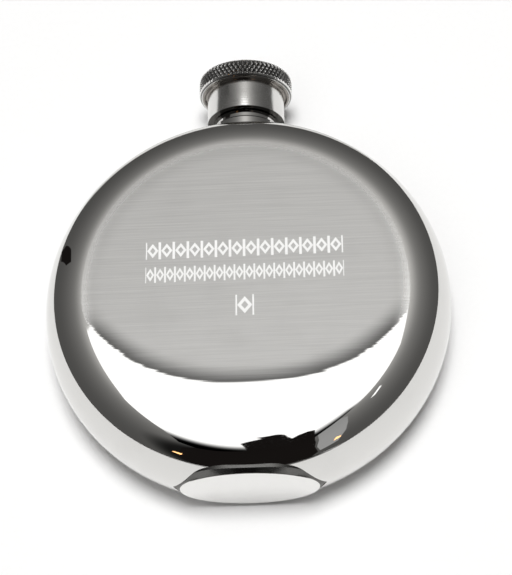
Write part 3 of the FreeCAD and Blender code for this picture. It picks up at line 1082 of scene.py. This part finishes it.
# ---- the cap
@dataclass
class Cap:
    """The screw cap: knurled head, flange, sleeve and seal.

    Attributes:
        radius: radius of the head over the knurl's crests.
        top: top of the head.
        knurl_low: lower edge of the knurl.
        knurl_high: its upper edge.
        teeth: knurl crests round the head.
        lead: run of a knurl line round the head over its rise along the axis.
        lip: y of the head's open end.
        knurl_depth: depth of the knurl.
        knurl_sharpness: 1 for flat-sided grooves, more for broader crests.
        wall: thickness of the head.
        flange_face: y of the flange's visible face.
        flange_edge: radius of that face.
        flange_floor: y of the groove round it.
        bead: section radius of the bead at the flange's rim.
        sleeve_radius: outer radius of the sleeve.
        sleeve_low: y of its open end.
        sleeve_bore: radius of its threaded bore.
        groove: radius of the bottom of its thread.
        seat: y where the bore widens for the seal.
        relief: radius of the room for the seal.
        play: added to the thread's half width.
        seal_hole: radius of the hole in the seal.
    """

    radius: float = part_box("cap_head")[1][0]
    top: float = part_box("cap_head")[1][1]
    lip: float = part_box("cap_head")[0][1]
    knurl_low: float = 57.29 * MM
    knurl_high: float = 60.63 * MM
    teeth: int = 64
    lead: float = 0.62
    knurl_depth: float = 0.50 * MM
    knurl_sharpness: float = 1.7
    wall: float = 0.8 * MM
    flange_face: float = 56.7 * MM
    flange_edge: float = 9.8 * MM
    flange_floor: float = 56.95 * MM
    bead: float = 0.38 * MM
    sleeve_radius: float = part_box("cap_sleeve")[1][0]
    sleeve_low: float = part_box("cap_sleeve")[0][1]
    sleeve_bore: float = 5.7 * MM
    groove: float = 6.2 * MM
    seat: float = 58.85 * MM
    relief: float = 6.3 * MM
    play: float = 0.2 * MM
    seal_hole: float = 2.0 * MM

    def knurl(self, radius: np.ndarray, height: np.ndarray, angle: np.ndarray) -> np.ndarray:
        """Cut crossed helical grooves into the head's rim.

        Args:
            radius: distance of points from the axis.
            height: their places along it.
            angle: their angles round it.

        Returns:
            The radius after cutting.
        """
        round_way = angle / (2 * math.pi) * self.teeth
        rise = (height - self.knurl_low) * self.lead * self.teeth / (2 * math.pi * self.radius)
        first = np.abs((round_way + rise) % 1.0 - 0.5) * 2
        second = np.abs((round_way - rise) % 1.0 - 0.5) * 2
        cut = np.maximum(first, second) ** self.knurl_sharpness
        edge = 0.35 * MM
        fade = np.clip((height - self.knurl_low) / edge, 0, 1)
        fade = fade * np.clip((self.knurl_high - height) / edge, 0, 1)
        on_rim = np.isclose(radius, self.radius, atol=1e-6)
        return radius - np.where(on_rim, self.knurl_depth * cut * (0.25 + 0.75 * fade), 0.0)

    def build_head(self) -> bpy.types.Object:
        """Make the knurled head with its slightly domed top."""
        inner = self.radius - self.wall
        rows = 30
        section = Outline((inner, self.lip)).to((self.radius - 0.5 * MM, self.lip))
        section.to((self.radius - 0.12 * MM, self.knurl_low - 0.12 * MM))
        for row in range(rows + 1):
            section.to((self.radius, self.knurl_low + (self.knurl_high - self.knurl_low) * row / rows))
        rim = self.radius - 0.75 * MM
        section.arc((rim, self.knurl_high - 0.1 * MM), (rim, self.top - 0.2 * MM), 8)
        ring = self.radius - 2.4 * MM
        section.to((ring + 0.25 * MM, self.top - 0.1 * MM), (ring, self.top - 0.28 * MM),
                   (ring - 0.25 * MM, self.top - 0.08 * MM))
        for share in (0.8, 0.6, 0.4, 0.2):
            section.to((ring * share, self.top - 0.08 * MM * share))
        section.to((0.0, self.top))
        ceiling = self.top - self.wall
        section.to((0.0, ceiling), (inner, ceiling))
        mesh = turned("knurled_head", section, Axis.NECK, self.teeth * 8, self.knurl)
        thing = piece(mesh, Body.CAP, ["cap_head"], [KNURL, CAP_TOP], 24.0)
        for face in mesh.polygons:
            out = math.hypot(face.center[0], face.center[2] - MIDDLE)
            on_rim = out > self.radius - self.knurl_depth * 1.15 and face.center[1] < self.knurl_high
            face.material_index = 0 if on_rim else 1
        return thing

    def build_flange(self) -> bpy.types.Object:
        """Make the polished flange with its bead, its steel tinted dark as painted shade."""
        edge = self.radius - self.wall
        middle = edge - self.bead
        soft = 0.12 * MM
        section = Outline((self.sleeve_radius, self.flange_face))
        section.to((self.flange_edge - soft, self.flange_face))
        section.arc((self.flange_edge - soft, self.flange_face + soft),
                    (self.flange_edge, self.flange_face + soft), 6)
        section.to((self.flange_edge, self.flange_floor), (middle - self.bead, self.flange_floor))
        section.arc((middle, self.flange_floor), (middle, self.flange_floor - self.bead), 10)
        section.arc((middle, self.flange_floor), (edge, self.flange_floor), 10)
        section.to((edge, self.knurl_low), (self.sleeve_radius, self.knurl_low))
        mesh = turned("polished_flange", section, Axis.NECK, 192)
        return piece(mesh, Body.CAP, ["cap_flange"], [SHADED_FLANGE], 28.0)

    def build_sleeve(self, thread: Thread) -> bpy.types.Object:
        """Make the satin sleeve.

        Args:
            thread: the thread that its bore is cut for.

        Returns:
            The piece.
        """
        low, high = self.sleeve_low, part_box("cap_sleeve")[1][1]
        mouth = low + 0.5 * MM
        soft = 0.15 * MM
        section = Outline((self.groove, low)).to((self.sleeve_radius - soft, low))
        section.arc((self.sleeve_radius - soft, low + soft), (self.sleeve_radius, low + soft), 5)
        section.to((self.sleeve_radius, 53.0 * MM), (self.sleeve_radius, high))
        section.to((self.relief, high), (self.relief, self.seat))
        for height in np.arange(self.seat, mouth, -0.08 * MM):
            section.to((self.sleeve_bore, float(height)))
        section.to((self.sleeve_bore, mouth))

        def shape(radius: np.ndarray, height: np.ndarray, angle: np.ndarray) -> np.ndarray:
            """Return the radius with the groove cut into the bore."""
            on_bore = np.isclose(radius, self.sleeve_bore, atol=1e-6)
            cut = (self.groove - self.sleeve_bore) * thread.ridge(height, angle, self.play)
            return radius + np.where(on_bore, cut, 0.0)

        mesh = turned("satin_sleeve", section, Axis.NECK, 160, shape)
        # the end face takes the steel tinted almost black as painted shade
        thing = piece(mesh, Body.CAP, ["cap_sleeve"], [SLEEVE, SHADED_SLEEVE_END], 35.0)
        for face in mesh.polygons:
            face.material_index = 1 if face.center[1] < low + soft * 0.5 else 0
        return thing

    def build_seal(self) -> bpy.types.Object:
        """Make the soft washer."""
        low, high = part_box("cap_seal")[0][1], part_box("cap_seal")[1][1]
        radius, hole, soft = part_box("cap_seal")[1][0], self.seal_hole, 0.25 * MM
        section = Outline((hole, low + soft)).arc((hole + soft, low + soft), (hole + soft, low), 5)
        section.to((radius - soft, low)).arc((radius - soft, low + soft), (radius, low + soft), 5)
        section.to((radius, high - soft)).arc((radius - soft, high - soft), (radius - soft, high), 5)
        section.to((hole + soft, high)).arc((hole + soft, high - soft), (hole, high - soft), 5)
        mesh = turned("seal_washer", section, Axis.NECK, 96)
        return piece(mesh, Body.SEAL, ["cap_seal"], [SEAL], 40.0)


# ---- the studio
@dataclass
class Studio:
    """Pale paper, soft light, reflector cards and the camera.

    Attributes:
        azimuth: the camera's angle round the object, in degrees.
        elevation: its height above the horizon, in degrees.
        roll: its turn about its own line of sight, in degrees.
        distance: from the object's middle to the camera.
        lens: focal length for a sensor 36 mm long.
        aside: how far the camera is moved across its view, to the right and up.
        card_distance: how far above the object the furthest card hangs.
        glow_lean: angle from straight overhead, away from the camera, of the room's brightest part.
        dark_spot: the way to its darkest part.
    """

    azimuth: float = 6.843
    elevation: float = 64.056
    roll: float = 8.320
    distance: float = 0.45386
    lens: float = 121.13
    aside: tuple[float, float] = (0.00187, 0.00438)
    card_distance: float = 20.0
    glow_lean: float = 23.0
    dark_spot: tuple[float, float, float] = (-0.164, -0.504, 0.848)

    def place_camera(self) -> None:
        """Make the camera."""
        turn, lift, roll = (math.radians(angle) for angle in (self.azimuth, self.elevation, self.roll))
        back = Vector((math.sin(turn) * math.cos(lift), -math.cos(turn) * math.cos(lift), math.sin(lift)))
        right = Vector((math.cos(turn), math.sin(turn), 0.0))
        above = back.cross(right)
        right, above = (right * math.cos(roll) - above * math.sin(roll),
                        right * math.sin(roll) + above * math.cos(roll))
        data = bpy.data.cameras.new("camera")
        data.lens = self.lens
        data.sensor_width = 36.0
        data.clip_start = 0.01
        camera = bpy.data.objects.new("camera", data)
        bpy.context.scene.collection.objects.link(camera)
        spot = Vector((0.0, 0.0, MIDDLE)) + back * self.distance
        spot += right * self.aside[0] + above * self.aside[1]
        axes = Matrix((right, above, back)).transposed().to_4x4()
        camera.matrix_world = Matrix.Translation(spot) @ axes
        bpy.context.scene.camera = camera

    def lay_floor(self) -> None:
        """Make the paper that the flask lies on."""
        points = np.array([(-3.0, -3.0, 0.0), (3.0, -3.0, 0.0), (3.0, 3.0, 0.0), (-3.0, 3.0, 0.0)])
        mesh = bpy.data.meshes.new("paper")
        mesh.from_pydata(points.tolist(), [], [(0, 1, 2, 3)])
        mesh.materials.append(Paper("paper_finish").material())
        floor = bpy.data.objects.new("paper", mesh)
        bpy.context.scene.collection.objects.link(floor)

    def hang_card(self, name: str, corners: Sequence[Point], finish: Glow, distance: float) -> None:
        """Hang a card above the object that only reflections see.

        Args:
            name: its name.
            corners: where each corner lies, in degrees from straight overhead, to the right and away.
            finish: its glow.
            distance: how far away it hangs.
        """
        points = []
        for right, away in corners:
            tilt, turn = math.radians(math.hypot(right, away)), math.atan2(away, right)
            points.append((distance * math.sin(tilt) * math.cos(turn),
                           distance * math.sin(tilt) * math.sin(turn),
                           distance * math.cos(tilt) + MIDDLE))
        mesh = bpy.data.meshes.new(name)
        mesh.from_pydata(points, [], [tuple(range(len(points)))])
        mesh.materials.append(finish.material())
        card = bpy.data.objects.new(name, mesh)
        bpy.context.scene.collection.objects.link(card)
        card.visible_camera = False
        card.visible_diffuse = False
        card.visible_shadow = False

    def hang_cards(self) -> None:
        """Hang the white card, the black flag in front of it and the small bright and dark strips."""
        far = self.card_distance
        white = Glow("white_card", strength=1.9, distance=far)
        bright = Glow("glint_card", strength=1.9)
        black = Glow("black_flag", colour=(0.9, 0.75, 0.7), strength=0.012)
        warm = Glow("warm_lamp", colour=(1.0, 0.52, 0.22), strength=3.0)
        pale = Glow("pale_card", strength=0.42)
        for name, finish, nearer, corners in (
            ("card", white, 1.0, [
                (-7.9, 25.2), (3.6, 25.2), (10.2, 19.7), (10.5, 8.0), (10.5, -12.0), (-12.0, -14.0),
                (-17.0, -8.0), (-15.0, 4.0), (-14.3, 15.0)]),
            ("pale", pale, 1.0, [
                (9.3, -4.0), (14.6, -17.0), (18.0, -28.0), (22.0, -36.0), (27.0, -30.0), (24.0, -18.0),
                (19.0, -8.0), (13.5, 1.0), (9.0, 4.0)]),
            ("glint", bright, 1.0, [(16.8, 8.2), (18.9, 6.8), (19.6, 3.4), (18.2, 3.4)]),
            ("flag", black, 0.9, [
                (-3.3, -9.4), (-4.1, 5.9), (-3.1, 10.8), (-2.4, 14.0), (-3.0, 17.6), (-2.1, 18.6),
                (-0.8, 14.4), (0.9, 8.1), (2.7, 2.9), (2.8, 6.2), (3.7, 6.8), (5.5, 4.6), (8.7, -5.1),
                (14.1, -18.1), (16.8, -26.7), (21.8, -37.9), (20.0, -46.0), (-24.0, -46.0),
                (-27.5, -36.0), (-19.5, -17.0), (-14.5, -11.5), (-9.3, -11.5)]),
            ("side_flag", black, 0.9, [
                (-66.3, 51.9), (-60.6, 50.9), (-46.3, 41.4), (-39.5, 35.1), (-49.0, 37.4), (-63.0, 45.2)]),
            ("lamp_left", warm, 0.8, [(-27.4, -28.8), (-26.0, -27.6), (-23.2, -28.2), (-24.8, -31.0)]),
            ("lamp_right", warm, 0.8, [(23.0, -23.4), (25.2, -24.0), (26.0, -25.8), (24.0, -27.7)]),
        ):
            self.hang_card(name, corners, finish, far * nearer)

    def light_room(self) -> None:
        """Fill the room that the metal reflects, and light the paper."""
        world = bpy.data.worlds.new("room")
        world.use_nodes = True
        bpy.context.scene.world = world
        graph = Graph(world.node_tree)
        way = graph.node("ShaderNodeTexCoord", output="Generated")
        lean = math.radians(self.glow_lean)
        ahead = graph.node("ShaderNodeVectorMath", {"operation": "DOT_PRODUCT"},
                           {0: way, 1: (0.0, math.sin(lean), math.cos(lean))}, output="Value")
        behind = graph.node("ShaderNodeVectorMath", {"operation": "DOT_PRODUCT"},
                            {0: way, 1: self.dark_spot}, output="Value")
        _, _, up = graph.axes(way)
        room = 0.10 + ahead.power(32.0) * 0.50 + ahead.power(6.0) * 0.27
        room = room * (1.0 - behind.rise(math.cos(math.radians(27.0)), math.cos(math.radians(16.0))) * 0.90)
        ground = up.rise(0.02, -0.03)
        level = room * (1.0 - ground) + ground * 1.1
        seen = graph.node("ShaderNodeLightPath", output="Is Camera Ray")
        spread = graph.node("ShaderNodeLightPath", output="Is Diffuse Ray")
        overhead = 0.03 + up.power(8.0) * 1.20
        level = level * (1.0 - seen) * (1.0 - spread) + seen * 1.05 + spread * overhead
        colour = graph.grey(level, (1.0, 0.985, 0.96))
        back = graph.node("ShaderNodeBackground", {}, {"Color": colour, "Strength": 1.0})
        graph.node("ShaderNodeOutputWorld", {}, {"Surface": back})
        self.lamp("top_light", (0.03, 0.04, 1.3), 22.0, 2.35)
        self.lamp("fill_light", (-0.5, -0.6, 1.1), 40.0, 0.3)

    def lamp(self, name: str, spot: tuple[float, float, float], width: float, strength: float) -> None:
        """Hang a far, soft light that stays out of reflections.

        Args:
            name: its name.
            spot: the way to it from the object.
            width: how wide it looks, in degrees.
            strength: its light on paper that faces it.
        """
        data = bpy.data.lights.new(name, "SUN")
        data.angle = math.radians(width)
        data.energy = strength
        light = bpy.data.objects.new(name, data)
        light.location = spot
        light.rotation_euler = (-Vector(spot)).to_track_quat("-Z", "Y").to_euler()
        light.visible_glossy = False
        bpy.context.scene.collection.objects.link(light)

    def build(self) -> None:
        """Set up everything round the object."""
        self.place_camera()
        self.lay_floor()
        self.hang_cards()
        self.light_room()
        bpy.context.scene.view_settings.view_transform = "Standard"


def main() -> None:
    """Build the flask and its studio."""
    logging.basicConfig(level=logging.INFO, format="%(name)s %(message)s")
    Studio().build()
    foot = Foot()
    canteen = Canteen()
    canteen.build(foot)
    foot.build()
    thread = Thread()
    neck = Neck()
    neck.build_collar()
    neck.build_spout(thread)
    cap = Cap()
    cap.build_head()
    cap.build_flange()
    cap.build_sleeve(thread)
    cap.build_seal()


if __name__ == "__main__":
    main()
